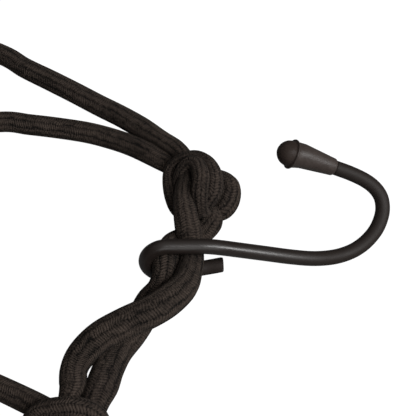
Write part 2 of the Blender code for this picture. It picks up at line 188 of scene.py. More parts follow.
# Braided sleeve. Heights are shares of a rib's height.
COURSES = 10               # courses of yarn round the sleeve
COURSE_WANDER = 0.09       # share of the girth by which a course wanders
COURSE_HEIGHT = 0.9
RIB_LEAN = 0.55            # how far a rib climbs along the cord over one course
RIB_SHIFT = 1.0            # how far uneven tension moves a rib along the cord
TENSION_PATCH = 2.381      # length of cord over which the tension changes
WORN_PATCH = 6.667         # size of a worn or dusty place
FIBRE_TUFT = 0.5263        # drawn coarser than loose fibres are, so that they show
FIBRE_HEIGHT = 2.2
PLEAT_WIDTH = 0.9423
PLEAT_LENGTH = 9.615
PLEAT_HEIGHT = 1.4
SHADED_BELOW = 2.3         # height up to which the yarn colour is painted fully in shade
LIT_ABOVE = 3.75           # height from which the yarn colour is painted fully lit
BRAID_RELIEF = 0.22        # real height of one rib

# Hook, as its solid: an eye that stands upright, a shank that dips from it, and a rolled bend
EYE_RADIUS = 4.45
EYE_DEPTH = 9.5            # from the start of the shank back to the middle of the eye
EYE_ASIDE = (1.1, -0.5, 0.6)  # sideways place of the cut end, and of the eye's foot and head
EYE_STEPS = 36
LEAD_OUT = ((-7.0, 0.75), (-4.5, 0.55), (-1.5, 0.25))  # place, and share of the head's aside
STUB = 2.3                 # from the start of the shank on to the cut end below it
STUB_STEPS = 7
CUT_ROUNDING = ((0.0, 0.84), (0.12, 0.95), (0.35, 1.0))  # way from the cut, share of the radius
SHANK_DIP = 18.6           # degrees
BEND_ROLL = 25.0           # degrees about the shank
HOOK_START = (8.6, -16.8)  # start of the shank from the knot
HOOK_HEADING = 24.2
BEND_LINE = (
    (1.5, 0.0), (11.5, 0.0), (17.0, 0.0), (21.7, 0.2), (25.6, 0.8), (28.9, 1.8), (32.0, 3.4),
    (34.6, 5.6), (36.7, 8.4), (37.8, 11.3), (38.0, 13.6), (37.4, 15.8), (35.8, 17.6),
    (33.4, 18.9), (30.0, 19.9), (26.4, 20.6),
)
BEND_PITCH = 0.7
LEAD_PITCH = 0.8
WIRE_SIDES = 32
HOOKS = (((5, 5), HOOK_HEADING), ((5, 3), HOOK_HEADING), ((0, 4), 180.0 + HOOK_HEADING))

# Dip coat on the wire, by lengths along the wire from its cut end
SCUFFED = (3.0, 9.0)       # scuffed up to the first length, and sound from the second
BENT = (46.0, 60.0)        # sound up to the first length, and crazed from the second
COAT_RUN = 7.692           # length of a slow wave
COAT_GRAIN = 0.7143        # drawn coarser than it is, so that it shows
COAT_RELIEF = 0.2

# Rubber cap, by the reach from its mouth towards its tip
CAP_AXIS = (-0.982, 0.13, 0.134)
BORE_RADIUS = 1.4
BORE_DEPTH = 5.3
FIT_GAP = 0.3
PARED_FROM = 0.1           # way over which the wire narrows to its pared end
CAP_OUTSIDE = (
    (0.0, 1.66), (0.05, 1.78), (0.16, 1.87), (0.35, 1.92), (2.0, 2.08), (4.0, 2.28), (6.0, 2.48),
    (8.0, 2.68), (9.4, 2.82), (10.0, 2.88), (10.16, 2.92), (10.26, 3.02), (10.32, 3.16),
    (10.38, 3.24), (10.5, 3.27), (10.62, 3.24), (10.68, 3.16), (10.72, 3.0), (10.78, 2.84),
    (10.9, 2.76), (11.15, 2.74), (11.55, 2.72), (12.0, 2.6), (12.5, 2.34), (12.95, 1.98),
    (13.3, 1.58), (13.6, 1.08), (13.75, 0.62), (13.82, 0.0),
)
CAP_SIDES = 64
TIP_FROM = 10.9            # where the ball tip begins
TIP_FADE = 0.6
TIP_ASIDE = (-0.05, -0.32, -0.1)  # the ball tip stands off the cone's axis, towards the shank
ASIDE_FROM = 9.0           # where it begins to do so
ASIDE_OVER = 1.6
RUBBER_BLOOM = 3.125       # size of a paler patch
RUBBER_GRAIN = 0.3846      # drawn coarser than it is, so that it shows
RUBBER_RELIEF = 0.1

HALF_TURN = Matrix.Rotation(pi, 4, "Z")
TURNS = (Matrix.Identity(4), HALF_TURN)  # of the first half of the hooks, and of the second

# Camera and lights of the stage, in metres
CAMERA_PLACE = (0.22309, 0.01189, 0.20888)
CAMERA_TARGET = (0.17163, 0.14880, 0.0)
NEAREST_SEEN = 0.01
SENSOR_WIDTH = 36.0        # in millimetres
FLOOR_HALF_WIDTH = 3.0
MIRRORED_GLOW = 0.12       # share of the floor's glow that the coated wire mirrors
OVERHEAD_LIGHT = 0.36      # strength of the ceiling straight above
HORIZON_LIGHT = 0.03       # strength of the room below the ceiling
CEILING_RISE = 0.45        # rise of a direction from which the ceiling shows
# Lamps: name, place, heading of the long side in degrees, size and power in watts
LAMPS = (
    ("right lamp", (0.76, 0.03, 0.61), 24.0, (1.0, 0.2), 9.0),
    ("front lamp", (0.42, -0.50, 0.35), 30.0, (0.4, 0.3), 0.8),
)


# ---------------------------------------------------------------- settings

def linear(hex_colour):
    """An sRGB hex colour as linear red, green and blue."""
    channels = [int(hex_colour[i:i + 2], 16) / 255 for i in (1, 3, 5)]
    return [c / 12.92 if c <= 0.04045 else ((c + 0.055) / 1.055) ** 2.4 for c in channels]


def colour_setting(name, words, hex_colour):
    return FloatVectorProperty(name=name, description=words, subtype="COLOR", size=3, min=0.0,
                               max=1.0, default=linear(hex_colour))


def length_setting(name, words, millimetres):
    return FloatProperty(name=name, description=words, subtype="DISTANCE", unit="LENGTH", min=0.0,
                         default=millimetres * MM, precision=5)


class CordSettings(bpy.types.PropertyGroup):
    ring_pitch: length_setting("Ring pitch", "Distance between rings of points on a cord", 1.8)
    rib_pitch: length_setting("Rib pitch", "Distance between the ribs of the braid", 0.54)
    yarn_colour: colour_setting("Yarn", "Colour of the black polyester yarn", "#443B35")
    # painted shade: colour given to the yarn in the valleys between ribs, courses and folds
    painted_valley_shade: colour_setting("Painted valley shade", "Painted shade of the yarn in the valleys", "#0C0A09")


class HookSettings(bpy.types.PropertyGroup):
    wire_radius: length_setting("Wire radius", "Radius of the coated wire", 1.6)
    coat_colour: colour_setting("Coat", "Colour of the dip coating", "#211B18")
    cap_colour: colour_setting("Cap", "Colour of the rubber cap", "#352D29")


class StageSettings(bpy.types.PropertyGroup):
    floor_colour: colour_setting("Floor", "Colour of the plain floor", "#4C4C4C")
    floor_glow: FloatProperty(name="Floor glow", default=1.0, min=0.0,
                              description="Strength of the light from below the floor")
    lens: FloatProperty(name="Lens", description="Focal length of the camera in millimetres",
                        default=99.52, min=1.0, unit="CAMERA")


# ---------------------------------------------------------------- curves and meshes

def catmull_rom(points, pitch):
    """Points about a pitch apart on the smooth curve through x, y, z, radius points."""
    ends = [[2 * a - b for a, b in zip(points[0], points[1])],
            [2 * a - b for a, b in zip(points[-1], points[-2])]]
    held = [ends[0], *points, ends[1]]
    fine = []
    for span in range(len(points) - 1):
        around = held[span:span + 4]
        gap = (Vector(around[2][:3]) - Vector(around[1][:3])).length
        steps = max(2, ceil(gap / FINE_STEP))
        for step in range(steps):
            fine.append(curve_point(around, step / steps))
    fine.append(tuple(points[-1]))
    return even_points(fine, pitch)


def curve_point(around, t):
    """The point at share t of the way from the second to the third of four points."""
    weights = (
        -0.5 * t + t * t - 0.5 * t ** 3,
        1 - 2.5 * t * t + 1.5 * t ** 3,
        0.5 * t + 2 * t * t - 1.5 * t ** 3,
        -0.5 * t * t + 0.5 * t ** 3,
    )
    return tuple(sum(w * p[k] for w, p in zip(weights, around)) for k in range(4))


def even_points(fine, pitch):
    """The fine polyline cut into steps of at most the pitch, and shorter ones where it bends."""
    places = [Vector(p[:3]) for p in fine]
    need = [0.0]
    for i in range(1, len(places)):
        step = places[i] - places[i - 1]
        bend = 0.0
        if i > 1 and step.length > 1e-6:
            bend = step.angle(places[i - 1] - places[i - 2], 0.0)
        need.append(need[-1] + step.length / pitch + bend / RING_BEND)
    count = max(2, ceil(need[-1]))
    even = []
    at = 0
    for ring in range(count + 1):
        goal = need[-1] * ring / count
        while at < len(need) - 2 and need[at + 1] < goal:
            at += 1
        share = (goal - need[at]) / max(need[at + 1] - need[at], 1e-9)
        even.append(tuple(a + (b - a) * share for a, b in zip(fine[at], fine[at + 1])))
    return even


def sweep(work, route, sides, phase):
    """Adds a closed round tube along the route.

    Its UV is the length along it in millimetres, from the phase on, and the share of the girth.
    """
    uv = work.loops.layers.uv.get("UVMap") or work.loops.layers.uv.new("UVMap")
    places = [Vector(p[:3]) for p in route]
    radii = [p[3] for p in route]
    last = len(places) - 1
    tangents = [(places[min(i + 1, last)] - places[max(i - 1, 0)]).normalized()
                for i in range(last + 1)]
    side = tangents[0].orthogonal().normalized()
    rings = []
    reach = [0.0]
    for i, place in enumerate(places):
        if i:
            side = (side - tangents[i] * side.dot(tangents[i])).normalized()
            reach.append(reach[-1] + (place - places[i - 1]).length)
        up = tangents[i].cross(side)
        ring = [place + radii[i] * (side * cos(a) + up * sin(a))
                for a in (2 * pi * (k / sides) for k in range(sides))]
        rings.append([work.verts.new(Vector((p.x, p.y, max(p.z, LEAST_HEIGHT))) * MM)
                      for p in ring])
    for i in range(last):
        for k in range(sides):
            n = (k + 1) % sides
            face = work.faces.new((rings[i][k], rings[i][n], rings[i + 1][n], rings[i + 1][k]))
            face.smooth = True
            for loop, (u, v) in zip(face.loops, ((i, k), (i, k + 1), (i + 1, k + 1), (i + 1, k))):
                loop[uv].uv = (phase + reach[u], v / sides)
    for end in (list(reversed(rings[0])), rings[-1]):
        work.faces.new(end).smooth = False
    return reach[-1]


def mesh_object(name, work, material):
    """A new object of the scene from the work's faces."""
    mesh = bpy.data.meshes.new(name)
    work.to_mesh(mesh)
    work.free()
    made = bpy.data.objects.new(name, mesh)
    bpy.context.scene.collection.objects.link(made)
    mesh.materials.append(material)
    return made


# ---------------------------------------------------------------- the net's layout

def is_lower(knot):
    return knot[1] < LOWEST_UPPER_ROW


def half_turned(knot):
    """The knot that a knot becomes by the half turn of the whole net."""
    return LAST - knot[0], LAST - knot[1]


def knot_place(knot):
    """Middle of a knot on the floor."""
    if is_lower(knot):
        return HALF_TURN @ knot_place(half_turned(knot))
    column, row = knot
    shift = KNOTS[knot][:2]
    return Vector((COLUMN_X[column] + shift[0], ROW_Y[row] + shift[1], 0.0))


def knot_turn(knot):
    """How a knot's two strands are laid: the turn in degrees and the mirror sign."""
    if is_lower(knot):
        turn, flip = knot_turn(half_turned(knot))
        return turn + 180.0, flip
    return KNOTS[knot][2:]


def to_net(knot, point):
    """A point of a knot's own list in the net's millimetres."""
    turn, flip = knot_turn(knot)
    flat = Matrix.Rotation(radians(turn), 4, "Z") @ Vector((point[0] * flip, point[1], 0.0))
    place = knot_place(knot) + flat
    return (place.x, place.y, point[2], point[3])


def knot_ports(knot):
    """The four ports of a knot."""
    upper = half_turned(knot) if is_lower(knot) else knot
    return FOOT_PORTS if upper in FOOT_KNOTS else PORTS


def port_angle(knot, port):
    """Degrees at which the strand at a port leaves its knot."""
    turn, flip = knot_turn(knot)
    angle = knot_ports(knot)[port][0]
    return turn + (angle if flip > 0 else 180.0 - angle)


def port_points(knot, port):
    """A port's points from the hidden middle of the knot outward."""
    return [to_net(knot, point) for point in knot_ports(knot)[port][1]]


def angle_apart(a, b):
    """Degrees between two angles."""
    return abs((a - b + 180.0) % 360.0 - 180.0)


def stretches():
    """Every stretch of the upper half: knots, wished ports and the points between."""
    for head, foot, turn in DOUBLED:
        for name, points in (("core_out", FRONT_STRAND), ("wrap_out", REAR_STRAND)):
            port = None if head in FOOT_KNOTS else name
            yield head, foot, port, laid(points, PAIR_FOOT, head, foot, turn, 1)
    for corner, inner, border, flip in CORNERS:
        yield corner, border, "core_in", laid(BORDER_STRAND, BORDER_FOOT, corner, border, 0, flip)
        yield corner, inner, "wrap_in", laid(CORNER_STRAND, CORNER_FOOT, corner, inner, 0, flip)
    for knot, other, bow in ROW_STRANDS + COLUMN_STRANDS:
        yield knot, other, None, bow


def laid(points, drawn_foot, knot, other, turn, flip):
    """A listed run moved to a knot, turned, and drawn out to end at the other knot."""
    turned = Matrix.Rotation(radians(turn), 4, "Z") @ Matrix.Diagonal((flip, 1, 1, 1))
    start = knot_place(knot)
    far = turned @ Vector((*drawn_foot, 0.0))
    rest = knot_place(other) - start - far
    moved = []
    for x, y, z, radius in points:
        flat = turned @ Vector((x, y, 0.0))
        share = flat.dot(far) / far.length_squared
        place = start + flat + rest * share
        moved.append((place.x, place.y, z, radius))
    return moved


def all_stretches():
    """Both halves of the net: the second is the half turn of the first."""
    first = list(stretches())
    for knot, other, port, run in first:
        yield knot, other, port, run, False
    for knot, other, port, run in first:
        yield half_turned(knot), half_turned(other), port, run, True


def eased(points, far):
    """A port's points, less the outermost one where a plain strand would turn hard at it."""
    inner, outer = Vector(points[-2][:2]), Vector(points[-1][:2])
    turn = (outer - inner).angle(Vector(far[:2]) - outer, 0.0)
    return points[:-1] if turn > radians(HARD_TURN) else points


def bowed(start, end, bow, turned):
    """Points of a plain strand between two ports, lying on the floor with a sideways bow."""
    a, b = Vector(start[:2]), Vector(end[:2])
    aside = Vector((a.y - b.y, b.x - a.x)).normalized() * bow
    run = []
    for share, swell in BOW_SHAPE:
        flat = a + (b - a) * share + aside * swell
        run.append((flat.x, flat.y, FLOOR_STRAND, STRAND_RADIUS))
    return run


def shared_ports():
    """The port that each stretch takes at both of its knots, so that no turn is needlessly hard."""
    ends = {}
    taken = {}
    runs = list(all_stretches())
    for index, (knot, other, port, run, turned) in enumerate(runs):
        for at, near, far in ((0, knot, other), (1, other, knot)):
            if at == 0 and port:
                taken[(index, 0)] = port
            else:
                ends.setdefault(near, []).append((index, at, heading(near, far, run, at, turned)))
    for knot, wanting in ends.items():
        used = {taken[key] for key in taken if runs[key[0]][key[1]] == knot}
        free = [name for name in knot_ports(knot) if name not in used]
        best = min(orders(free), key=lambda order: sum(
            angle_apart(wished, port_angle(knot, name)) ** 2
            for (_, _, wished), name in zip(wanting, order)))
        for (index, at, _), name in zip(wanting, best):
            taken[(index, at)] = name
    return runs, taken


def heading(near, far, run, at, turned):
    """Direction in which a stretch leaves a knot."""
    if isinstance(run, list):
        point = run[-1] if at else run[0]
        flat = Vector((point[0], point[1], 0.0))
        flat = HALF_TURN @ flat if turned else flat
        way = flat - knot_place(near)
    else:
        way = knot_place(far) - knot_place(near)
    return degrees(atan2(way.y, way.x))


def orders(names):
    """All orders of the names."""
    if len(names) < 2:
        return [list(names)]
    return [[name, *rest] for name in names for rest in orders([n for n in names if n != name])]


def net_routes():
    """Every stretch of cord as one list of x, y, z, radius points."""
    runs, taken = shared_ports()
    for index, (knot, other, port, run, turned) in enumerate(runs):
        first = port_points(knot, taken[(index, 0)])
        second = port_points(other, taken[(index, 1)])
        if isinstance(run, list):
            middle = run
            if turned:
                middle = [(-x, -y, z, radius) for x, y, z, radius in run]
        else:
            first, second = eased(first, second[-1]), eased(second, first[-1])
            middle = bowed(first[-1], second[-1], run, turned)
        yield first + middle + list(reversed(second))


# ---------------------------------------------------------------- materials

def add_node(tree, kind, settings=None, **links):
    """Adds a node, sets its properties and plain inputs, and links its other inputs to sockets.

    A plain input goes by its name or number. A linked one goes by its name, or by i and its number.
    """
    node = tree.nodes.new(kind)
    for key, value in (settings or {}).items():
        if isinstance(key, int) or key in node.inputs:
            node.inputs[key].default_value = value
        else:
            setattr(node, key, value)
    for key, socket in links.items():
        target = node.inputs[int(key[1:]) if key[1:].isdigit() else key]
        tree.links.new(socket, target)
    return node


def new_material(name):
    """An empty material with a shader already linked to its output."""
    material = bpy.data.materials.new(name)
    material.use_nodes = True
    tree = material.node_tree
    tree.nodes.clear()
    output = tree.nodes.new("ShaderNodeOutputMaterial")
    shader = tree.nodes.new("ShaderNodeBsdfPrincipled")
    tree.links.new(shader.outputs["BSDF"], output.inputs["Surface"])
    return material, tree, shader


def per_metre(millimetres):
    """Scale of a noise over metres whose patches are about this many millimetres across."""
    return 1 / (millimetres * MM)


def braided_polyester(settings):
    """Black polyester yarn braided over an elastic core.

    The sleeve lies in ten courses along the cord. In each course the yarns lean the other way than
    in the next, so the eye sees fine chevrons with darker valleys between the courses. Spun
    polyester is dull, with loose fibres that make it mottled. The colour has painted shade where
    the braid is low, in the valleys and folds, and is painted lit where it is high.
    """
    material, tree, shader = new_material("Polyester sleeve braided over elastic")
    uv = add_node(tree, "ShaderNodeUVMap", {"uv_map": "UVMap"})
    split = add_node(tree, "ShaderNodeSeparateXYZ", i0=uv.outputs["UV"])
    along = split.outputs["X"]
    around = split.outputs["Y"]
    body = add_node(tree, "ShaderNodeTexCoord").outputs["Object"]
    uneven = add_node(tree, "ShaderNodeTexNoise",
                      {"Scale": per_metre(TENSION_PATCH), "Detail": 2.0, "Roughness": 0.5},
                      Vector=body)
    blotch = add_node(tree, "ShaderNodeTexNoise",
                      {"Scale": per_metre(WORN_PATCH), "Detail": 3.0, "Roughness": 0.6},
                      Vector=body)
    fuzz = add_node(tree, "ShaderNodeTexNoise",
                    {"Scale": per_metre(FIBRE_TUFT), "Detail": 3.0, "Roughness": 0.65},
                    Vector=body)
    # long folds: the sleeve is looser than the core and lies in shallow pleats along the cord
    swing = add_node(tree, "ShaderNodeMath", {"operation": "MULTIPLY", 1: 2 * pi}, i0=around)
    east = add_node(tree, "ShaderNodeMath", {"operation": "COSINE"}, i0=swing.outputs[0])
    north = add_node(tree, "ShaderNodeMath", {"operation": "SINE"}, i0=swing.outputs[0])
    slowness = PLEAT_WIDTH / (PLEAT_LENGTH * STRAND_RADIUS)
    slow = add_node(tree, "ShaderNodeMath", {"operation": "MULTIPLY", 1: slowness}, i0=along)
    pleat_place = add_node(tree, "ShaderNodeCombineXYZ", i0=east.outputs[0], i1=north.outputs[0],
                           i2=slow.outputs[0])
    pleat = add_node(tree, "ShaderNodeTexNoise",
                     {"Scale": STRAND_RADIUS / PLEAT_WIDTH, "Detail": 3.0, "Roughness": 0.6},
                     Vector=pleat_place.outputs["Vector"])
    # the chevrons: the rib's place along the cord shifts to and fro from course to course
    wander = add_node(tree, "ShaderNodeMath", {"operation": "MULTIPLY_ADD", 1: COURSE_WANDER},
                      i0=uneven.outputs["Fac"], i2=around)
    turns = add_node(tree, "ShaderNodeMath", {"operation": "MULTIPLY", 1: COURSES / 2},
                     i0=wander.outputs[0])
    zigzag = add_node(tree, "ShaderNodeMath", {"operation": "PINGPONG", 1: 0.5},
                      i0=turns.outputs[0])
    leaning = add_node(tree, "ShaderNodeMath", {"operation": "MULTIPLY_ADD", 1: 2 * RIB_LEAN},
                       i0=zigzag.outputs[0], i2=along)
    shifted = add_node(tree, "ShaderNodeMath", {"operation": "MULTIPLY_ADD", 1: RIB_SHIFT},
                       i0=uneven.outputs["Fac"], i2=leaning.outputs[0])
    rib_turns = add_node(tree, "ShaderNodeMath",
                         {"operation": "MULTIPLY", 1: pi * MM / settings.rib_pitch},
                         i0=shifted.outputs[0])
    wave = add_node(tree, "ShaderNodeMath", {"operation": "SINE"}, i0=rib_turns.outputs[0])
    rib = add_node(tree, "ShaderNodeMath", {"operation": "ABSOLUTE"}, i0=wave.outputs[0])
    # the courses: round backs with a narrow valley between two of them
    course_turns = add_node(tree, "ShaderNodeMath", {"operation": "MULTIPLY", 1: COURSES * pi},
                            i0=wander.outputs[0])
    swell = add_node(tree, "ShaderNodeMath", {"operation": "SINE"}, i0=course_turns.outputs[0])
    back = add_node(tree, "ShaderNodeMath", {"operation": "ABSOLUTE"}, i0=swell.outputs[0])
    course = add_node(tree, "ShaderNodeMath", {"operation": "POWER", 1: 0.5}, i0=back.outputs[0])
    # height of the sleeve: courses and ribs, which stand out in some places more than in others
    strength = add_node(tree, "ShaderNodeMapRange",
                        {"From Min": 0.36, "From Max": 0.64, "To Min": 0.4, "To Max": 0.85},
                        Value=uneven.outputs["Fac"])
    raised = add_node(tree, "ShaderNodeMath", {"operation": "MULTIPLY"}, i0=rib.outputs[0],
                      i1=strength.outputs[0])
    ribbed = add_node(tree, "ShaderNodeMath", {"operation": "MULTIPLY_ADD", 1: COURSE_HEIGHT},
                      i0=course.outputs[0], i2=raised.outputs[0])
    fuzzy = add_node(tree, "ShaderNodeMath", {"operation": "MULTIPLY_ADD", 1: FIBRE_HEIGHT},
                     i0=fuzz.outputs["Fac"], i2=ribbed.outputs[0])
    height = add_node(tree, "ShaderNodeMath", {"operation": "MULTIPLY_ADD", 1: PLEAT_HEIGHT},
                      i0=pleat.outputs["Fac"], i2=fuzzy.outputs[0])
    # colour: painted shade low in valleys and folds, a paler bloom where the sleeve is worn
    lit = add_node(tree, "ShaderNodeMapRange", {"From Min": SHADED_BELOW, "From Max": LIT_ABOVE},
                   Value=height.outputs[0])
    worn = add_node(tree, "ShaderNodeMapRange",
                    {"From Min": 0.38, "From Max": 0.66, "To Min": -0.05, "To Max": 0.2},
                    Value=blotch.outputs["Fac"])
    shade = add_node(tree, "ShaderNodeMath", {"operation": "ADD", "use_clamp": True},
                     i0=lit.outputs[0], i1=worn.outputs[0])
    # the mix paints shade: valley colour where the braid is low, yarn colour where it is high
    colour = add_node(tree, "ShaderNodeMix", {"data_type": "RGBA"}, i0=shade.outputs[0])
    colour.inputs[6].default_value = (*settings.painted_valley_shade, 1.0)
    colour.inputs[7].default_value = (*settings.yarn_colour, 1.0)
    tree.links.new(colour.outputs[2], shader.inputs["Base Color"])
    bump = add_node(tree, "ShaderNodeBump", {"Strength": 0.9, "Distance": BRAID_RELIEF * MM},
                    Height=height.outputs[0])
    tree.links.new(bump.outputs["Normal"], shader.inputs["Normal"])
    shader.inputs["Roughness"].default_value = 0.8
    shader.inputs["Specular IOR Level"].default_value = 0.08
    shader.inputs["Sheen Weight"].default_value = 0.03
    shader.inputs["Sheen Roughness"].default_value = 0.4
    shader.inputs["Sheen Tint"].default_value = (*linear("#E7DACF"), 1.0)
    return material


def dipped_coat(settings):
    """Soft vinyl dipped over steel wire: satin, with slow waves where it ran and cooled."""
    material, tree, shader = new_material("Vinyl dip coat on steel wire")
    body = add_node(tree, "ShaderNodeTexCoord").outputs["Object"]
    runs = add_node(tree, "ShaderNodeTexNoise",
                    {"Scale": per_metre(COAT_RUN), "Detail": 2.0, "Roughness": 0.5}, Vector=body)
    grain = add_node(tree, "ShaderNodeTexNoise",
                     {"Scale": per_metre(COAT_GRAIN), "Detail": 3.0, "Roughness": 0.6}, Vector=body)
    uv = add_node(tree, "ShaderNodeUVMap", {"uv_map": "UVMap"})
    along = add_node(tree, "ShaderNodeSeparateXYZ", i0=uv.outputs["UV"]).outputs["X"]
    # the coat crazes to a matt skin where the wire was bent after dipping
    crazed = add_node(tree, "ShaderNodeMapRange", {"From Min": BENT[0], "From Max": BENT[1]},
                      Value=along).outputs[0]
    # and it is scuffed and dusty at the cut end
    sound = add_node(tree, "ShaderNodeMapRange", {"From Min": SCUFFED[0], "From Max": SCUFFED[1]},
                     Value=along).outputs[0]
    gloss = add_node(tree, "ShaderNodeMapRange",
                     {"From Min": 0.3, "From Max": 0.7, "To Min": 0.31, "To Max": 0.41},
                     Value=runs.outputs["Fac"])
    matt = add_node(tree, "ShaderNodeMath", {"operation": "MULTIPLY_ADD", 1: 0.25}, i0=crazed,
                    i2=gloss.outputs[0])
    dusty = add_node(tree, "ShaderNodeMapRange", {"To Min": 0.4, "To Max": 0.0}, Value=sound)
    dull = add_node(tree, "ShaderNodeMath", {"operation": "ADD"}, i0=matt.outputs[0],
                    i1=dusty.outputs[0])
    tree.links.new(dull.outputs[0], shader.inputs["Roughness"])
    gleam = add_node(tree, "ShaderNodeMapRange", {"To Min": 0.15, "To Max": 0.55}, Value=sound)
    dimmed = add_node(tree, "ShaderNodeMapRange", {"To Min": 1.0, "To Max": 0.45}, Value=crazed)
    shine = add_node(tree, "ShaderNodeMath", {"operation": "MULTIPLY"}, i0=gleam.outputs[0],
                     i1=dimmed.outputs[0])
    shader.inputs["Specular IOR Level"].default_value = 0.4  # where only one level can be kept
    tree.links.new(shine.outputs[0], shader.inputs["Specular IOR Level"])
    tint = add_node(tree, "ShaderNodeMix", {"data_type": "RGBA"}, i0=grain.outputs["Fac"])
    tint.inputs[6].default_value = (*[c * 0.7 for c in settings.coat_colour], 1.0)
    tint.inputs[7].default_value = (*[c * 1.3 for c in settings.coat_colour], 1.0)
    tree.links.new(tint.outputs[2], shader.inputs["Base Color"])
    height = add_node(tree, "ShaderNodeMath", {"operation": "MULTIPLY_ADD", 1: 0.25},
                      i0=grain.outputs["Fac"], i2=runs.outputs["Fac"])
    bump = add_node(tree, "ShaderNodeBump", {"Strength": 0.3, "Distance": COAT_RELIEF * MM},
                    Height=height.outputs[0])
    tree.links.new(bump.outputs["Normal"], shader.inputs["Normal"])
    return material


def moulded_rubber(settings):
    """Rubber moulded in a polished die: dull satin with a very fine grain and a little bloom."""
    material, tree, shader = new_material("Moulded rubber")
    body = add_node(tree, "ShaderNodeTexCoord").outputs["Object"]
    bloom = add_node(tree, "ShaderNodeTexNoise",
                     {"Scale": per_metre(RUBBER_BLOOM), "Detail": 3.0, "Roughness": 0.6},
                     Vector=body)
    grain = add_node(tree, "ShaderNodeTexNoise",
                     {"Scale": per_metre(RUBBER_GRAIN), "Detail": 2.0, "Roughness": 0.5},
                     Vector=body)
    uv = add_node(tree, "ShaderNodeUVMap", {"uv_map": "UVMap"})
    reach = add_node(tree, "ShaderNodeSeparateXYZ", i0=uv.outputs["UV"]).outputs["X"]
    # the ball tip has less gleam, and its colour is painted darker as shade
    cone = add_node(tree, "ShaderNodeMapRange",
                    {"From Min": TIP_FROM, "From Max": TIP_FROM + TIP_FADE, "To Min": 1.0,
                     "To Max": 0.0}, Value=reach).outputs[0]
    painted_tip_shade = add_node(tree, "ShaderNodeMapRange", {"To Min": 0.85, "To Max": 1.0}, Value=cone)
    tint = add_node(tree, "ShaderNodeMix", {"data_type": "RGBA"}, i0=bloom.outputs["Fac"])
    tint.inputs[6].default_value = (*[c * 0.6 for c in settings.cap_colour], 1.0)
    tint.inputs[7].default_value = (*[c * 1.4 for c in settings.cap_colour], 1.0)
    # painted shade: the colour of the ball tip is darkened to 0.85 of the cone's
    darker = add_node(tree, "ShaderNodeVectorMath", {"operation": "SCALE"}, i0=tint.outputs[2],
                      Scale=painted_tip_shade.outputs[0])
    tree.links.new(darker.outputs[0], shader.inputs["Base Color"])
    dull = add_node(tree, "ShaderNodeMapRange",
                    {"From Min": 0.3, "From Max": 0.7, "To Min": 0.38, "To Max": 0.58},
                    Value=bloom.outputs["Fac"])
    tree.links.new(dull.outputs[0], shader.inputs["Roughness"])
    gleam = add_node(tree, "ShaderNodeMath", {"operation": "MULTIPLY_ADD", 1: 0.35, 2: 0.1},
                     i0=cone)
    shader.inputs["Specular IOR Level"].default_value = 0.35  # where only one level can be kept
    tree.links.new(gleam.outputs[0], shader.inputs["Specular IOR Level"])
    bump = add_node(tree, "ShaderNodeBump", {"Strength": 0.5, "Distance": RUBBER_RELIEF * MM},
                    Height=grain.outputs["Fac"])
    tree.links.new(bump.outputs["Normal"], shader.inputs["Normal"])
    return material


# ---------------------------------------------------------------- hooks

def hook_frame(knot, heading_degrees, turn, wire_radius):
    """Place of a hook: X along the shank over the floor, Z up, the shank starting at the origin."""
    about_knot = Matrix.Rotation(radians(heading_degrees - HOOK_HEADING), 4, "Z")
    start = about_knot @ Vector((*HOOK_START, 0.0))
    middle = knot_place(knot) + start + Vector((0.0, 0.0, wire_radius + 2 * EYE_RADIUS))
    heading_turn = Matrix.Rotation(radians(heading_degrees), 4, "Z")
    return turn @ Matrix.Translation(middle) @ heading_turn


def hook_places(radius):
    """Places of the six hooks; the last three are the half turn of the first three."""
    for turn in TURNS:
        for knot, heading_degrees in HOOKS:
            yield hook_frame(knot, heading_degrees, turn, radius)


def shank_frame():
    """Plane of the shank and the bend within the hook."""
    dip = Matrix.Rotation(radians(SHANK_DIP), 4, "Y")
    return dip @ Matrix.Rotation(radians(BEND_ROLL), 4, "X")


def cap_frame():
    """Place of the cap within the hook: Z from the end of the bend towards the cap's tip."""
    turned = Vector((0.0, 0.0, 1.0)).rotation_difference(Vector(CAP_AXIS)).to_matrix().to_4x4()
    return shank_frame() @ Matrix.Translation((*BEND_LINE[-1], 0.0)) @ turned


def arc(centre, radius, first, last, steps):
    """Points of a flat arc between two angles in degrees."""
    turned = [radians(first + (last - first) * step / steps) for step in range(steps + 1)]
    return [(centre[0] + radius * cos(a), centre[1] + radius * sin(a)) for a in turned]


def wire_route(radius):
    """Centre of the wire in the hook's frame, rounded at the cut end and pared inside the cap."""
    cut_end, foot, head = EYE_ASIDE
    low = -2 * EYE_RADIUS
    lower = [(STUB - way, cut_end, low, radius * share) for way, share in CUT_ROUNDING]
    for step in range(1, STUB_STEPS):
        share = step / STUB_STEPS
        lower.append((STUB - (STUB + EYE_DEPTH) * share, cut_end + (foot - cut_end) * share, low,
                      radius))
    eye = [(x, head + (foot - head) * z / low, z, radius)
           for x, z in arc((-EYE_DEPTH, -EYE_RADIUS), EYE_RADIUS, -90, -270, EYE_STEPS)]
    lead = [(x, head * share, 0.0, radius) for x, share in LEAD_OUT]
    plane = shank_frame()
    bend = [(*(plane @ Vector(point[:3])), radius)
            for point in catmull_rom([(x, y, 0.0, radius) for x, y in BEND_LINE], BEND_PITCH)]
    route = lower + eye + catmull_rom([eye[-1], *lead, bend[0]], LEAD_PITCH)[1:-1] + bend[1:]
    into = cap_frame()
    pared = BORE_RADIUS - FIT_GAP
    for reach, own in ((FIT_GAP, radius), (FIT_GAP + PARED_FROM, pared), (BORE_DEPTH, pared)):
        route.append((*(into @ Vector((0.0, 0.0, reach))), own))
    return route


def wire_piece(name, place, radius, material):
    """The coated wire of one hook, from its cut end to its end in the cap."""
    work = bmesh.new()
    route = [(*(place @ Vector(p[:3])), p[3]) for p in wire_route(radius)]
    sweep(work, route, WIRE_SIDES, 0.0)
    return mesh_object(name, work, material)


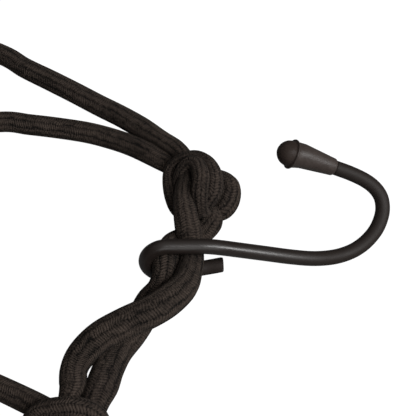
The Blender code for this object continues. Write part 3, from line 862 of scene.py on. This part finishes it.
def cap_profile():
    """Outline of the cap from the end of its bore round the mouth to the tip: reach and radius."""
    mouth = 2 * FIT_GAP
    bore_end = BORE_DEPTH + FIT_GAP
    return [(bore_end, 0.0), (bore_end, BORE_RADIUS), (mouth, BORE_RADIUS),
            *[(mouth + reach, radius) for reach, radius in CAP_OUTSIDE]]


def cap_piece(name, place, material):
    """The rubber cap moulded from its outline, mouth towards the bend, with its reach as UV."""
    work = bmesh.new()
    uv = work.loops.layers.uv.new("UVMap")
    turned = place @ cap_frame()
    across, over = turned.to_3x3().col[:2]
    aside = (place @ shank_frame()).to_3x3() @ Vector(TIP_ASIDE)
    reaches = {}
    rings = []
    for reach, radius in cap_profile():
        share = min(max((reach - ASIDE_FROM) / ASIDE_OVER, 0.0), 1.0)
        middle = turned @ Vector((0.0, 0.0, reach)) + aside * share
        angles = [2 * pi * k / CAP_SIDES for k in range(CAP_SIDES if radius else 1)]
        rings.append([work.verts.new((middle + radius * (across * cos(a) + over * sin(a))) * MM)
                      for a in angles])
        reaches.update({vert: reach for vert in rings[-1]})
    for first, second in zip(rings, rings[1:]):
        for k in range(CAP_SIDES):
            n = (k + 1) % CAP_SIDES
            corners = [first[k % len(first)], first[n % len(first)], second[n % len(second)],
                       second[k % len(second)]]
            face = work.faces.new(list(dict.fromkeys(corners)))
            face.smooth = True
            for loop in face.loops:
                loop[uv].uv = (reaches[loop.vert], k / CAP_SIDES)
    bmesh.ops.recalc_face_normals(work, faces=work.faces)
    return mesh_object(name, work, material)


# ---------------------------------------------------------------- operators

class NET_OT_cords(bpy.types.Operator):
    """Lay the knotted cords"""
    bl_idname = "cargo_net.cords"
    bl_label = "Cords and knots"

    def execute(self, context):
        settings = context.scene.net_cord
        sleeve = braided_polyester(settings)
        groups = {"upper": bmesh.new(), "lower": bmesh.new()}
        phase = 0.0
        for route in net_routes():
            even = catmull_rom(route, settings.ring_pitch / MM)
            group = "upper" if sum(p[1] for p in even) > 0 else "lower"
            phase += sweep(groups[group], even, CORD_SIDES, phase)
        for name, work in groups.items():
            piece = mesh_object(f"cord_{name}_half", work, sleeve)
            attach(piece, BODY)
            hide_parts("net")
        return {"FINISHED"}


class NET_OT_hook_wires(bpy.types.Operator):
    """Bend the six coated wire hooks"""
    bl_idname = "cargo_net.hook_wires"
    bl_label = "Hook wires"

    def execute(self, context):
        settings = context.scene.net_hook
        coat = dipped_coat(settings)
        radius = settings.wire_radius / MM
        for count, place in enumerate(hook_places(radius), 1):
            piece = wire_piece(f"coated_wire_{count}", place, radius, coat)
            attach(piece, BODY)
            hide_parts(f"hook_wire_{count}")
        return {"FINISHED"}


class NET_OT_hook_caps(bpy.types.Operator):
    """Mould the six rubber caps"""
    bl_idname = "cargo_net.hook_caps"
    bl_label = "Rubber caps"

    def execute(self, context):
        settings = context.scene.net_hook
        rubber = moulded_rubber(settings)
        for count, place in enumerate(hook_places(settings.wire_radius / MM), 1):
            piece = cap_piece(f"rubber_cap_{count}", place, rubber)
            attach(piece, BODY)
            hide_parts(f"hook_cap_{count}")
        return {"FINISHED"}


class NET_OT_stage(bpy.types.Operator):
    """Set the plain floor, the studio light and the camera"""
    bl_idname = "cargo_net.stage"
    bl_label = "Floor, light and camera"

    def execute(self, context):
        settings = context.scene.net_stage
        floor_piece(settings)
        lights()
        camera(settings)
        return {"FINISHED"}


def floor_piece(settings):
    """A large sheet of milky acrylic whose own white glow is seen by the camera and in the wire.

    The glow keeps shadows on the sheet faint, and the net is lit from above only.
    """
    material, tree, shader = new_material("Milky white acrylic lit from below")
    shader.inputs["Base Color"].default_value = (*settings.floor_colour, 1.0)
    shader.inputs["Roughness"].default_value = 0.9
    shader.inputs["Specular IOR Level"].default_value = 0.1
    shader.inputs["Emission Color"].default_value = (*linear("#FFFFFF"), 1.0)
    path = add_node(tree, "ShaderNodeLightPath")
    seen = add_node(tree, "ShaderNodeMath", {"operation": "MULTIPLY_ADD", 1: MIRRORED_GLOW},
                    i0=path.outputs["Is Glossy Ray"], i2=path.outputs["Is Camera Ray"])
    glow = add_node(tree, "ShaderNodeMath", {"operation": "MULTIPLY", 1: settings.floor_glow},
                    i0=seen.outputs[0])
    tree.links.new(glow.outputs[0], shader.inputs["Emission Strength"])
    work = bmesh.new()
    bmesh.ops.create_grid(work, x_segments=1, y_segments=1, size=FLOOR_HALF_WIDTH)
    mesh_object("floor_board", work, material)


def lights():
    """A pale ceiling over a dim room, a broad lamp on the right and a weak one low in front."""
    world = bpy.data.worlds.new("studio")
    world.use_nodes = True
    tree = world.node_tree
    background = tree.nodes["Background"]
    background.inputs["Color"].default_value = (*linear("#FFFFFF"), 1.0)
    way = add_node(tree, "ShaderNodeTexCoord").outputs["Generated"]
    rise = add_node(tree, "ShaderNodeSeparateXYZ", i0=way).outputs["Z"]
    glow = add_node(tree, "ShaderNodeMapRange",
                    {"From Min": CEILING_RISE, "From Max": 1.0, "To Min": HORIZON_LIGHT,
                     "To Max": OVERHEAD_LIGHT}, Value=rise)
    tree.links.new(glow.outputs[0], background.inputs["Strength"])
    bpy.context.scene.world = world
    for name, place, heading_degrees, size, power in LAMPS:
        data = bpy.data.lights.new(name, "AREA")
        data.shape = "RECTANGLE"
        data.size, data.size_y = size
        data.energy = power
        lamp = bpy.data.objects.new(name, data)
        lamp.location = place
        down = (Vector(place) - Vector(CAMERA_TARGET)).normalized()
        length = Vector((cos(radians(heading_degrees)), sin(radians(heading_degrees)), 0.0))
        width = down.cross(length).normalized()
        lamp.rotation_euler = Matrix((width.cross(down), width, down)).transposed().to_euler()
        bpy.context.scene.collection.objects.link(lamp)


def camera(settings):
    """A long lens that looks down on one corner of the net."""
    data = bpy.data.cameras.new("camera")
    data.lens = settings.lens
    data.sensor_width = SENSOR_WIDTH
    data.clip_start = NEAREST_SEEN
    made = bpy.data.objects.new("camera", data)
    made.location = CAMERA_PLACE
    aim = Vector(CAMERA_TARGET) - Vector(CAMERA_PLACE)
    made.rotation_euler = aim.to_track_quat("-Z", "Y").to_euler()
    bpy.context.scene.collection.objects.link(made)
    bpy.context.scene.camera = made
    bpy.context.scene.view_settings.view_transform = "Standard"


class NET_PT_sidebar(bpy.types.Panel):
    """Sizes and colours of the net, and the steps that lay it"""
    bl_label = "Cargo Net"
    bl_idname = "NET_PT_sidebar"
    bl_space_type = "VIEW_3D"
    bl_region_type = "UI"
    bl_category = "Cargo Net"

    def draw(self, context):
        for settings, names in (
            (context.scene.net_cord, ("ring_pitch", "rib_pitch", "yarn_colour", "painted_valley_shade")),
            (context.scene.net_hook, ("wire_radius", "coat_colour", "cap_colour")),
            (context.scene.net_stage, ("floor_colour", "floor_glow", "lens")),
        ):
            box = self.layout.box()
            for name in names:
                box.prop(settings, name)
        for operator in (NET_OT_cords, NET_OT_hook_wires, NET_OT_hook_caps, NET_OT_stage):
            self.layout.operator(operator.bl_idname)


GROUPS = {"net_cord": CordSettings, "net_hook": HookSettings, "net_stage": StageSettings}
CLASSES = (CordSettings, HookSettings, StageSettings, NET_OT_cords, NET_OT_hook_wires,
           NET_OT_hook_caps, NET_OT_stage, NET_PT_sidebar)


def register():
    for made in CLASSES:
        bpy.utils.register_class(made)
    for name, group in GROUPS.items():
        setattr(bpy.types.Scene, name, PointerProperty(type=group))


def unregister():
    for name in GROUPS:
        delattr(bpy.types.Scene, name)
    for made in reversed(CLASSES):
        bpy.utils.unregister_class(made)


def main():
    """Lays the net on its stage."""
    register()
    bpy.ops.cargo_net.stage()
    bpy.ops.cargo_net.cords()
    bpy.ops.cargo_net.hook_wires()
    bpy.ops.cargo_net.hook_caps()


if __name__ == "__main__":
    main()
